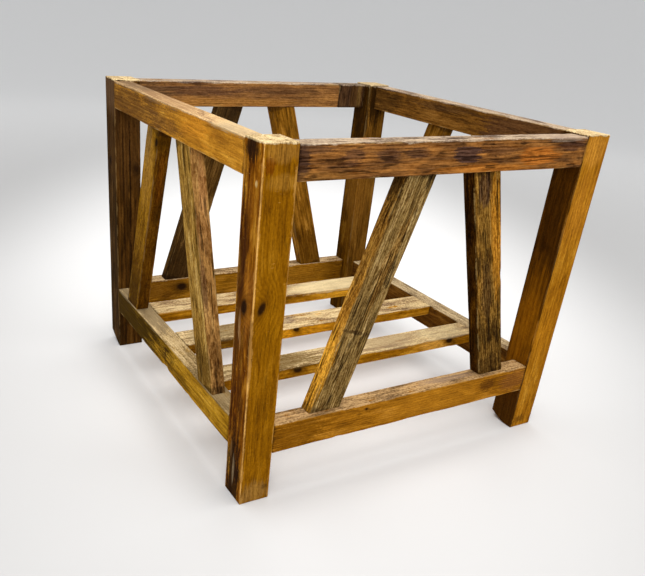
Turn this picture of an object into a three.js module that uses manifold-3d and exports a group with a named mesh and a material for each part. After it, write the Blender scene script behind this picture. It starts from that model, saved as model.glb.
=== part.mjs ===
// Timber hay rack: corner posts, a ring of top rails, a ring of bottom rails,
// two leaning bars in each side and a floor of spaced slats.
// Millimetres. +Z up, the floor under the feet is z = 0 and the origin is the
// middle of the footprint. The front faces -Y and the left side faces -X.

import * as THREE from 'three';
import { ConvexGeometry } from 'three/addons/geometries/ConvexGeometry.js';
import { mergeVertices } from 'three/addons/utils/BufferGeometryUtils.js';
import Module from 'manifold-3d';

const wasm = await Module();
wasm.setup();

// Overall size.
const rackWidth = 742;
const rackDepth = 748;
const rackHeight = 640;

// Corner posts.
const legWidth = 60;
const legDepth = 61;

// Top rails, a little below the post tops.
const topRailHeight = 56;
const topRailThickness = 40;
const topRailDrop = 3;

// Bottom rails, carrying the floor.
const bottomRailHeight = 60;
const bottomRailThickness = 38;
const bottomRailClearOfGround = 97;

// A separate block closes the right-hand end of the back top rail.
const endBlockLength = 80;

// Leaning bars.
const braceThickness = 28;
const frontBraceSetBack = 10;
const backBraceSetBack = 10;
const leftBraceSetBack = 0.5;
const rightBraceSetBack = 0.5;

// Floor slats, front to back.
const slatThickness = 25;

// Joints.
const jointGap = 0.3;
const tenonThickness = 14;
const tenonShoulder = 10;
const mortiseWall = 5;
const dowelRadius = 5;
const dowelDepth = 20;
const slatDowelDepth = 15;

// Edges taken off by wear and by the plane.
const postEase = 2;
const railEase = 1.5;
const braceEase = 1.5;
const slatEase = 1.2;
const dowelEase = 0.8;
const dowelSides = 16;

// Each leaning bar: its place along its side, from the middle of that side to
// the bar's centreline at the foot and at the head, and its sawn width. Seen
// from outside the rack, minus is to the left.
const frontBraces = [
  { name: 'front_left_brace', foot: -201, head: -65, width: 65 },
  { name: 'front_right_brace', foot: 214, head: 82, width: 63 },
];
const rightBraces = [
  { name: 'right_front_brace', foot: -207, head: -74, width: 62 },
  { name: 'right_back_brace', foot: 209, head: 73, width: 60 },
];
const backBraces = [
  { name: 'back_right_brace', foot: -200, head: -69, width: 63 },
  { name: 'back_left_brace', foot: 207, head: 77, width: 64 },
];
const leftBraces = [
  { name: 'left_back_brace', foot: -211, head: -72, width: 62 },
  { name: 'left_front_brace', foot: 207, head: 74, width: 63 },
];

// Each floor slat: centreline from the middle of the rack, and width.
const floorSlats = [
  { name: 'floor_slat_front', centre: -168, width: 60 },
  { name: 'floor_slat_middle', centre: 3, width: 69 },
  { name: 'floor_slat_back', centre: 175, width: 66 },
];

// Levels that follow from the sizes above.
const topRailTop = rackHeight - topRailDrop;
const topRailUnderside = topRailTop - topRailHeight;
const bottomRailTop = bottomRailClearOfGround + bottomRailHeight;

const finishes = {
  goldenPost: { color: 0xb5772c, roughness: 0.55, metalness: 0 },
  amberRail: { color: 0xb97a2e, roughness: 0.55, metalness: 0 },
  smokedRail: { color: 0x6f4a2b, roughness: 0.65, metalness: 0 },
  weatheredBar: { color: 0x8a7350, roughness: 0.8, metalness: 0 },
  umberBar: { color: 0x5d431f, roughness: 0.7, metalness: 0 },
  bleachedSlat: { color: 0xcdb88c, roughness: 0.75, metalness: 0 },
  plainDowel: { color: 0xc6a36a, roughness: 0.6, metalness: 0 },
};

function finish(name) {
  return new THREE.MeshStandardMaterial(finishes[name]);
}

function named(name, geometry, finishName) {
  const mesh = new THREE.Mesh(geometry, finish(finishName));
  mesh.name = name;
  return mesh;
}

// --- solids ---------------------------------------------------------------

function toSolid(geometry) {
  const bare = geometry.clone();
  bare.deleteAttribute('normal');
  bare.deleteAttribute('uv');
  const merged = mergeVertices(bare, 1e-4);
  const mesh = new wasm.Mesh({
    numProp: 3,
    vertProperties: new Float32Array(merged.attributes.position.array),
    triVerts: new Uint32Array(merged.index.array),
  });
  return new wasm.Manifold(mesh);
}

function toGeometry(solid) {
  const mesh = solid.getMesh();
  const geometry = new THREE.BufferGeometry();
  geometry.setAttribute('position', new THREE.BufferAttribute(mesh.vertProperties, 3));
  geometry.setIndex(new THREE.BufferAttribute(mesh.triVerts, 1));
  geometry.computeVertexNormals();
  return geometry;
}

function worked(blank, additions, cutters) {
  let solid = toSolid(blank);
  for (const piece of additions) {
    solid = solid.add(toSolid(piece));
  }
  for (const cutter of cutters) {
    solid = solid.subtract(toSolid(cutter));
  }
  return toGeometry(solid);
}

// A sawn timber with every edge eased, centred on its own middle.
function easedTimber(sizeX, sizeY, sizeZ, ease) {
  const half = [sizeX / 2, sizeY / 2, sizeZ / 2];
  const points = [];
  for (const signX of [-1, 1]) {
    for (const signY of [-1, 1]) {
      for (const signZ of [-1, 1]) {
        const corner = [signX * half[0], signY * half[1], signZ * half[2]];
        const sign = [signX, signY, signZ];
        for (let face = 0; face < 3; face += 1) {
          const point = corner.map((value, axis) => (
            axis === face ? value : value - sign[axis] * ease
          ));
          points.push(new THREE.Vector3(...point));
        }
      }
    }
  }
  return new ConvexGeometry(points);
}

function block(sizeX, sizeY, sizeZ, x, y, z) {
  const geometry = new THREE.BoxGeometry(sizeX, sizeY, sizeZ);
  geometry.translate(x, y, z);
  return geometry;
}

// A round dowel, or the hole for one, lying along X or standing along Z.
function round(radius, length, axis, x, y, z) {
  const geometry = new THREE.CylinderGeometry(radius, radius, length, dowelSides);
  if (axis === 'z') {
    geometry.rotateX(Math.PI / 2);
  } else {
    geometry.rotateZ(-Math.PI / 2);
  }
  geometry.translate(x, y, z);
  return geometry;
}

function dowelHole(depthEachWay, axis, x, y, z) {
  return round(dowelRadius + jointGap, 2 * (depthEachWay + jointGap), axis, x, y, z);
}

// A dowel with its two rims eased.
function dowel(name, depthEachWay, axis, x, y, z) {
  const half = depthEachWay;
  const profile = [
    new THREE.Vector2(0, -half),
    new THREE.Vector2(dowelRadius - dowelEase, -half),
    new THREE.Vector2(dowelRadius, dowelEase - half),
    new THREE.Vector2(dowelRadius, half - dowelEase),
    new THREE.Vector2(dowelRadius - dowelEase, half),
    new THREE.Vector2(0, half),
  ];
  const geometry = new THREE.LatheGeometry(profile, dowelSides);
  if (axis === 'z') {
    geometry.rotateX(Math.PI / 2);
  } else {
    geometry.rotateZ(-Math.PI / 2);
  }
  const mesh = named(name, toGeometry(toSolid(geometry)), 'plainDowel');
  mesh.position.set(x, y, z);
  return mesh;
}

// --- joints ---------------------------------------------------------------

// How far a tenon can run into a post before the mortise that crosses it.
function tenonLength(postSize, crossingRailThickness) {
  const crossingMortise = (crossingRailThickness + tenonThickness) / 2 + jointGap;
  return postSize - crossingMortise - mortiseWall - jointGap;
}

function tenon(length, railHeight, endX, sign) {
  const root = 4;
  const middle = endX + sign * (length - root) / 2;
  return block(length + root, tenonThickness, railHeight - 2 * tenonShoulder, middle, 0, 0);
}

function mortiseAlongX(length, railHeight, faceX, sign, y, z) {
  const depth = length + jointGap;
  const lead = 1;
  const middle = faceX + sign * (depth - lead) / 2;
  const height = railHeight - 2 * tenonShoulder + 2 * jointGap;
  return block(depth + lead, tenonThickness + 2 * jointGap, height, middle, y, z);
}

function mortiseAlongY(length, railHeight, faceY, sign, x, z) {
  const depth = length + jointGap;
  const lead = 1;
  const middle = faceY + sign * (depth - lead) / 2;
  const height = railHeight - 2 * tenonShoulder + 2 * jointGap;
  return block(tenonThickness + 2 * jointGap, depth + lead, height, x, middle, z);
}

const railRings = [
  { height: topRailHeight, thickness: topRailThickness, underside: topRailUnderside },
  { height: bottomRailHeight, thickness: bottomRailThickness, underside: bottomRailClearOfGround },
];

// --- posts ----------------------------------------------------------------

function cornerPost(name, signX, signY) {
  const centreX = signX * (rackWidth - legWidth) / 2;
  const centreY = signY * (rackDepth - legDepth) / 2;
  const centreZ = rackHeight / 2;
  const mortises = [];
  for (const ring of railRings) {
    const z = ring.underside + ring.height / 2 - centreZ;
    const lineX = signX * (rackWidth - ring.thickness) / 2 - centreX;
    const lineY = signY * (rackDepth - ring.thickness) / 2 - centreY;
    const alongX = tenonLength(legWidth, ring.thickness);
    const alongY = tenonLength(legDepth, ring.thickness);
    const faceX = -signX * legWidth / 2;
    const faceY = -signY * legDepth / 2;
    mortises.push(mortiseAlongX(alongX, ring.height, faceX, signX, lineY, z));
    mortises.push(mortiseAlongY(alongY, ring.height, faceY, signY, lineX, z));
  }
  const blank = easedTimber(legWidth, legDepth, rackHeight, postEase);
  const post = named(name, worked(blank, [], mortises), 'goldenPost');
  post.position.set(centreX, centreY, centreZ);
  return post;
}

// --- one side of the rack ---------------------------------------------------

// A side is built as if it were the front: its length runs along X and its
// outer face looks towards -Y. The group is then turned to its place.

function braceBar(brace, centreY) {
  const low = bottomRailTop + jointGap;
  const high = topRailUnderside - jointGap;
  const lean = Math.atan2(brace.head - brace.foot, high - low);
  const halfLength = brace.width / Math.cos(lean) / 2;
  const halfThickness = braceThickness / 2;
  const easeLength = braceEase / Math.cos(lean);
  const points = [];
  for (const end of [{ x: brace.foot, z: low }, { x: brace.head, z: high }]) {
    for (const signX of [-1, 1]) {
      for (const signY of [-1, 1]) {
        const outer = signX * halfLength;
        const inner = signX * (halfLength - easeLength);
        const face = signY * halfThickness;
        const eased = signY * (halfThickness - braceEase);
        points.push(new THREE.Vector3(end.x + outer, eased, end.z));
        points.push(new THREE.Vector3(end.x + inner, face, end.z));
      }
    }
  }
  const holes = [
    dowelHole(dowelDepth, 'z', brace.foot, 0, bottomRailTop),
    dowelHole(dowelDepth, 'z', brace.head, 0, topRailUnderside),
  ];
  const bar = named(brace.name, worked(new ConvexGeometry(points), [], holes), brace.finish);
  bar.position.set(0, centreY, 0);
  return bar;
}

function rackSide(side) {
  const group = new THREE.Group();
  const outerY = -side.halfSpan;
  const clear = side.clearLength - 2 * jointGap;
  const braceY = outerY + side.braceSetBack + braceThickness / 2;

  const topY = outerY + topRailThickness / 2;
  const topZ = topRailUnderside + topRailHeight / 2;
  const topTenon = tenonLength(side.postSize, topRailThickness);
  const blockLength = side.endBlock ? endBlockLength : 0;
  const topLength = clear - blockLength - (side.endBlock ? jointGap : 0);
  const topShift = (clear - topLength) / 2;
  const topHoles = side.braces.map((brace) => (
    dowelHole(dowelDepth, 'z', brace.head - topShift, braceY - topY, -topRailHeight / 2)
  ));
  const topRail = named(
    `${side.name}_top_rail`,
    worked(
      easedTimber(topLength, topRailThickness, topRailHeight, railEase),
      [
        tenon(topTenon, topRailHeight, -topLength / 2, -1),
        tenon(topTenon, topRailHeight, topLength / 2, 1),
      ],
      topHoles,
    ),
    side.topFinish,
  );
  topRail.position.set(topShift, topY, topZ);
  group.add(topRail);

  if (side.endBlock) {
    const faceX = blockLength / 2;
    const endBlock = named(
      `${side.name}_top_rail_end_block`,
      worked(
        easedTimber(blockLength, topRailThickness, topRailHeight, railEase),
        [tenon(topTenon, topRailHeight, -faceX, -1)],
        [mortiseAlongX(topTenon, topRailHeight, faceX, -1, 0, 0)],
      ),
      side.topFinish,
    );
    endBlock.position.set((blockLength - clear) / 2, topY, topZ);
    group.add(endBlock);
  }

  const bottomY = outerY + bottomRailThickness / 2;
  const bottomZ = bottomRailClearOfGround + bottomRailHeight / 2;
  const bottomTenon = tenonLength(side.postSize, bottomRailThickness);
  const bottomHoles = side.braces.map((brace) => (
    dowelHole(dowelDepth, 'z', brace.foot, braceY - bottomY, bottomRailHeight / 2)
  ));
  if (side.carriesSlats) {
    for (const slat of floorSlats) {
      const along = side.slatDirection * slat.centre;
      const slatZ = (bottomRailHeight - slatThickness) / 2;
      const hole = dowelHole(slatDowelDepth, 'x', 0, 0, 0);
      hole.rotateZ(Math.PI / 2);
      hole.translate(along, bottomRailThickness / 2, slatZ);
      bottomHoles.push(hole);
    }
  }
  const bottomRail = named(
    `${side.name}_bottom_rail`,
    worked(
      easedTimber(clear, bottomRailThickness, bottomRailHeight, railEase),
      [
        tenon(bottomTenon, bottomRailHeight, -clear / 2, -1),
        tenon(bottomTenon, bottomRailHeight, clear / 2, 1),
      ],
      bottomHoles,
    ),
    side.bottomFinish,
  );
  bottomRail.position.set(0, bottomY, bottomZ);
  group.add(bottomRail);

  for (const brace of side.braces) {
    group.add(braceBar({ ...brace, finish: side.braceFinish }, braceY));
    group.add(dowel(`${brace.name}_foot_dowel`, dowelDepth, 'z', brace.foot, braceY, bottomRailTop));
    group.add(dowel(`${brace.name}_head_dowel`, dowelDepth, 'z', brace.head, braceY, topRailUnderside));
  }

  group.rotation.z = side.turn;
  return group;
}

// --- floor ------------------------------------------------------------------

function slatBoard(slat) {
  const innerX = rackWidth / 2 - bottomRailThickness;
  const length = 2 * (innerX - jointGap);
  const holes = [
    dowelHole(slatDowelDepth, 'x', -innerX, 0, 0),
    dowelHole(slatDowelDepth, 'x', innerX, 0, 0),
  ];
  const blank = easedTimber(length, slat.width, slatThickness, slatEase);
  const board = named(slat.name, worked(blank, [], holes), 'bleachedSlat');
  board.position.set(0, slat.centre, bottomRailTop - slatThickness / 2);
  return board;
}

// --- the rack ---------------------------------------------------------------

const frontAndBack = {
  halfSpan: rackDepth / 2,
  clearLength: rackWidth - 2 * legWidth,
  postSize: legWidth,
  carriesSlats: false,
};
const leftAndRight = {
  halfSpan: rackWidth / 2,
  clearLength: rackDepth - 2 * legDepth,
  postSize: legDepth,
  carriesSlats: true,
};
const sides = [
  {
    ...frontAndBack,
    name: 'front',
    turn: 0,
    braces: frontBraces,
    braceSetBack: frontBraceSetBack,
    topFinish: 'smokedRail',
    bottomFinish: 'amberRail',
    braceFinish: 'weatheredBar',
  },
  {
    ...leftAndRight,
    name: 'right',
    turn: Math.PI / 2,
    slatDirection: 1,
    braces: rightBraces,
    braceSetBack: rightBraceSetBack,
    topFinish: 'smokedRail',
    bottomFinish: 'amberRail',
    braceFinish: 'umberBar',
  },
  {
    ...frontAndBack,
    name: 'back',
    turn: Math.PI,
    braces: backBraces,
    braceSetBack: backBraceSetBack,
    endBlock: true,
    topFinish: 'smokedRail',
    bottomFinish: 'amberRail',
    braceFinish: 'umberBar',
  },
  {
    ...leftAndRight,
    name: 'left',
    turn: -Math.PI / 2,
    slatDirection: -1,
    braces: leftBraces,
    braceSetBack: leftBraceSetBack,
    topFinish: 'amberRail',
    bottomFinish: 'amberRail',
    braceFinish: 'weatheredBar',
  },
];

const hayRack = new THREE.Group();

hayRack.add(cornerPost('front_left_leg', -1, -1));
hayRack.add(cornerPost('front_right_leg', 1, -1));
hayRack.add(cornerPost('back_left_leg', -1, 1));
hayRack.add(cornerPost('back_right_leg', 1, 1));

for (const side of sides) {
  hayRack.add(rackSide(side));
}

for (const slat of floorSlats) {
  hayRack.add(slatBoard(slat));
  const railFace = rackWidth / 2 - bottomRailThickness;
  const z = bottomRailTop - slatThickness / 2;
  hayRack.add(dowel(`${slat.name}_left_dowel`, slatDowelDepth, 'x', -railFace, slat.centre, z));
  hayRack.add(dowel(`${slat.name}_right_dowel`, slatDowelDepth, 'x', railFace, slat.centre, z));
}

export default hayRack;
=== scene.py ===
import math

import bpy
import numpy as np
from mathutils import Matrix, Vector


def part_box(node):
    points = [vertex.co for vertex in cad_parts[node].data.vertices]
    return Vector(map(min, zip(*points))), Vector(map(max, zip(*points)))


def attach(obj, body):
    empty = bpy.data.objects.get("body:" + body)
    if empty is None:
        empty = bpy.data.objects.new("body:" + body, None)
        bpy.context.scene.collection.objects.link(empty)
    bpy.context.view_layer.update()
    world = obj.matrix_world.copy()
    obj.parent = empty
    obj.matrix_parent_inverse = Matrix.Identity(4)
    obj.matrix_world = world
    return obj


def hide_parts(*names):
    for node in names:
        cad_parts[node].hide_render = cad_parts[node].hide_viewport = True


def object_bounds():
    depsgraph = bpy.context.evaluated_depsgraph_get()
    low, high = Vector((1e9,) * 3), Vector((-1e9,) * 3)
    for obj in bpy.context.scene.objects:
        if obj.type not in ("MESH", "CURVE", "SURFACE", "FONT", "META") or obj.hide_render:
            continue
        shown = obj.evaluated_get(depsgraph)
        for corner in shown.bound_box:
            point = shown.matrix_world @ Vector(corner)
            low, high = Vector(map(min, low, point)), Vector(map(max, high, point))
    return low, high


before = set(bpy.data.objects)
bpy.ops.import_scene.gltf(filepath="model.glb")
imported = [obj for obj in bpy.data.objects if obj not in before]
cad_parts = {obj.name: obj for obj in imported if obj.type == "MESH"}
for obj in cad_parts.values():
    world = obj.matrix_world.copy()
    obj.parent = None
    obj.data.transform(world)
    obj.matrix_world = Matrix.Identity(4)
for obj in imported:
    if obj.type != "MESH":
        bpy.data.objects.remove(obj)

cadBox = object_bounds()
print("frame loaded:", len(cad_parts), "pieces")

mm = 0.001
up = Vector((0, 0, 1))
alongX = Vector((1, 0, 0))
alongY = Vector((0, 1, 0))


def addObject(name, data):
    made = bpy.data.objects.new(name, data)
    bpy.context.scene.collection.objects.link(made)
    return made


def addSmoothMesh(name, points, faces):
    mesh = bpy.data.meshes.new(name)
    mesh.from_pydata(points, [], faces)
    mesh.update()
    for polygon in mesh.polygons:
        polygon.use_smooth = True
    return addObject(name, mesh)


class Wire:
    # a node socket that can be added, scaled and raised like a number
    def __init__(self, finish, socket):
        self.finish = finish
        self.socket = socket

    def math(self, operation, *others, clamp=False):
        inputs = dict(enumerate((self,) + others))
        return self.finish.node("ShaderNodeMath", {"operation": operation, "use_clamp": clamp}, inputs)

    # the same with the number first, as in 1 - mask
    def mathAfter(self, operation, first):
        return self.finish.node("ShaderNodeMath", {"operation": operation}, {0: first, 1: self})

    def __add__(self, other):
        return self.math("ADD", other)

    def __radd__(self, other):
        return self.math("ADD", other)

    def __sub__(self, other):
        return self.math("SUBTRACT", other)

    def __rsub__(self, other):
        return self.mathAfter("SUBTRACT", other)

    def __mul__(self, other):
        return self.math("MULTIPLY", other)

    def __rmul__(self, other):
        return self.math("MULTIPLY", other)

    def __truediv__(self, other):
        return self.math("DIVIDE", other)

    def __rtruediv__(self, other):
        return self.mathAfter("DIVIDE", other)

    def __pow__(self, other):
        return self.math("POWER", other)

    def __rpow__(self, other):
        return self.mathAfter("POWER", other)

    def __abs__(self):
        return self.math("ABSOLUTE")

    def clamped(self):
        return self.math("ADD", 0.0, clamp=True)

    def root(self):
        return self.math("SQRT")

    def fraction(self):
        return self.math("FRACT")

    # 0 below low, 1 above high, smooth between; low may be the larger
    def rise(self, low, high):
        settings = {"interpolation_type": "SMOOTHSTEP"}
        inputs = {"Value": self, "From Min": low, "From Max": high, "To Min": 0.0, "To Max": 1.0}
        if low > high:
            inputs.update({"From Min": high, "From Max": low, "To Min": 1.0, "To Max": 0.0})
        return self.finish.node("ShaderNodeMapRange", settings, inputs)


toneStops = (0.05, 0.38, 0.6, 0.92)  # where the deep, dark, middle and light tones lie
topToneStops = (0.1, 0.45, 0.8)      # the same on bleached upper faces


class Finish:
    # one material and the nodes in it
    def __init__(self, name):
        self.material = bpy.data.materials.new(name)
        self.material.use_nodes = True
        self.tree = self.material.node_tree
        self.tree.nodes.clear()

    def node(self, kind, settings=None, inputs=None, output=0):
        made = self.tree.nodes.new(kind)
        for key, value in (settings or {}).items():
            if key == "stops":
                self.setStops(made.color_ramp, value)
            else:
                setattr(made, key, value)
        for key, value in (inputs or {}).items():
            if isinstance(value, Wire):
                self.tree.links.new(value.socket, made.inputs[key])
            else:
                made.inputs[key].default_value = value
        return Wire(self, made.outputs[output]) if len(made.outputs) else None

    def setStops(self, ramp, stops):
        while len(ramp.elements) < len(stops):
            ramp.elements.new(0.5)
        for element, (place, colour) in zip(ramp.elements, stops):
            element.position = place
            element.color = (*colour, 1.0)

    def mixed(self, factor, first, second, blend="MIX"):
        settings = {"data_type": "RGBA", "blend_type": blend, "clamp_factor": True}
        inputs = {0: factor, 6: self.asColour(first), 7: self.asColour(second)}
        return self.node("ShaderNodeMix", settings, inputs, output=2)

    def times(self, colour, shade):
        return self.mixed(1.0, colour, shade, "MULTIPLY")

    def tones(self, value, colours, stops=toneStops):
        return self.node("ShaderNodeValToRGB", {"stops": list(zip(stops, colours))}, {0: value})

    def asColour(self, value):
        return value if isinstance(value, Wire) else (*value, 1.0)

    def vector(self, operation, first, second=None, third=None, output=0):
        inputs = {0: first}
        if second is not None:
            inputs[1] = second
        if third is not None:
            inputs[2] = third
        return self.node("ShaderNodeVectorMath", {"operation": operation}, inputs, output)

    # noise with a bump size in millimetres along the grain and across it
    def noise(self, place, along, across, seed, detail=2.0, roughness=0.5, distortion=0.0):
        size = (1 / along, 1 / across, 1 / across)
        shift = (seed * 7.31 % 97, seed * 3.17 % 89, seed * 5.77 % 83)
        moved = self.vector("MULTIPLY_ADD", place, size, shift)
        settings = {"noise_dimensions": "3D"}
        inputs = {
            "Vector": moved, "Scale": 1.0, "Detail": detail,
            "Roughness": roughness, "Distortion": distortion,
        }
        return self.node("ShaderNodeTexNoise", settings, inputs)


def tint(red, green, blue):
    # linear colour from everyday 0 to 255 values
    shares = (red / 255, green / 255, blue / 255)
    return tuple(share / 12.92 if share < 0.04 else ((share + 0.055) / 1.055) ** 2.4 for share in shares)


def tints(*colours):
    return tuple(tint(*colour) for colour in colours)


def stainAndPaintedLight(at, size, colour, amount, soft=0.65, over=False):
    # a ragged patch (mostly stains and worn spots; some are painted shade, a few painted highlights): middle
    # and reach in mm, strength, softness of its edge, and whether it also covers a bleached upper face
    return {"at": at, "size": size, "tone": tint(*colour), "amount": amount, "soft": soft, "over": over}


plainWood = {
    "tones": tints((64, 32, 4), (112, 68, 5), (140, 92, 8), (170, 120, 26)),
    "streak": 0.8,                # contrast of long streaks
    "cloud": 1.1,                 # contrast of broad patches
    "fibre": 0.9,                 # contrast of single fibres
    "fibreSize": (40.0, 1.7),     # mm along and across the grain
    "speck": 0.9,                 # contrast of small mottling
    "grit": 0.35,                 # contrast of fine pits
    "rings": 0.4,                 # contrast of the growth rings
    "ripple": 3.5,                # mm, how far they waver
    "pores": 0.45,                # fine dark lines
    "flecks": 0.22,               # fine pale lines
    "ringWidth": 5.0,             # mm between growth rings
    "heart": (45.0, 38.0),        # where the pith lay, mm from the middle
    "lean": (0.02, -0.015),       # how the pith wanders along the length
    "checks": 0.35,               # open cracks along the grain
    "checkSize": (150.0, 5.0),    # mm between them, along and across
    "checkWide": 0.03,            # share of that gap that is open
    "pale": tint(214, 176, 112),  # rubbed corners and nicks, and a painted highlight along some corners
    "wear": 0.3,
    "wornAndHighlightCorners": {},            # corners rubbed harder, by their signs, with a painted highlight along them
    "wearWidth": 2.2,             # mm
    "grime": 0.5,                 # dark joints
    "grimeReach": 5.0,            # mm
    "topTones": tints((112, 88, 70), (160, 134, 104), (196, 170, 134)),
    "topPale": 0.0,               # how far the upper face is bleached
    "sides": {},                  # faces with a tone of their own: a stain on some pieces, painted shade on some, painted light on one
    "nicks": 0.0,                 # short pale scratches across the grain
    "roughness": 0.5,
    "bump": 0.5,
}
patternSizes = {                  # mm along the grain and across it
    "sway": (320.0, 60.0),        # slow drift of the growth rings
    "ripple": (50.0, 10.0),       # their quick waver
    "streak": (150.0, 6.5),
    "cloud": (80.0, 24.0),
    "speck": (5.0, 2.6),
    "grit": (14.0, 2.2),
    "lump": (42.0, 16.0),
    "nick": (2.0, 14.0),
}
dullSheen = {"Specular IOR Level": 0.002, "Specular Tint": (1.0, 0.66, 0.34, 1.0)}
reliefDepth = 0.0012              # m
driftReach, driftRings = 26.0, 2.0  # what the slow drift moves the pith by, mm, and the rings
sideBlend, topBlend = (3.4, 1.4), (3.0, 1.2)  # mm below a face, where its tones begin and are full
smallShadow, smallLight = (0.42, 0.33, 0.24), (1.50, 1.56, 1.66)
crackTone = tint(26, 14, 8)
poreShade, fleckLift = (0.40, 0.34, 0.26), (1.75, 1.70, 1.60)


def knotShapes(knots, x, y, z):
    # each knot runs right through the timber, across its depth or its width
    swell, core, halo = None, None, None
    for knot in knots:
        along = x - knot["at"][0]
        other = (z if knot.get("through") == "width" else y) - knot["at"][1]
        along = along + other * knot.get("tilt", 0.3)
        far = (along * along * 0.5 + other * other).root()
        radius = knot["radius"]
        bulge = (far / (radius * 2.6)) ** 2.0 * -1.0
        bulge = bulge.math("EXPONENT") * (radius * 1.7)
        dark = far.rise(radius * 1.15, radius * 0.5) * knot.get("dark", 1.0)
        ring = far.rise(radius * 2.4, radius * 1.0)
        swell = bulge if swell is None else swell + bulge
        core = dark if core is None else core.math("MAXIMUM", dark)
        halo = ring if halo is None else halo.math("MAXIMUM", ring)
    return swell, core, halo


def sideMask(face, half, y, z, raggedness):
    # 1 on one long face of the timber
    axis = "xyz".index(face[0])
    value = (y if axis == 1 else z) * (1 if face[1] == "+" else -1)
    return (value + raggedness).rise(half[axis] - sideBlend[0], half[axis] - sideBlend[1])


def addStainsAndPaintedLight(wood, tone, place, torn, marks):
    # stains, worn patches, painted shade and painted highlights, each with a ragged outline
    for mark in marks:
        size = tuple(1 / reach for reach in mark["size"])
        shift = tuple(-at / reach for at, reach in zip(mark["at"], mark["size"]))
        offset = wood.vector("MULTIPLY_ADD", place, size, shift)
        far = wood.vector("LENGTH", offset, output=1)
        inside = (far + torn).rise(1.2, mark["soft"])
        tone = wood.mixed(inside * mark["amount"], tone, mark["tone"])
    return tone


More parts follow.
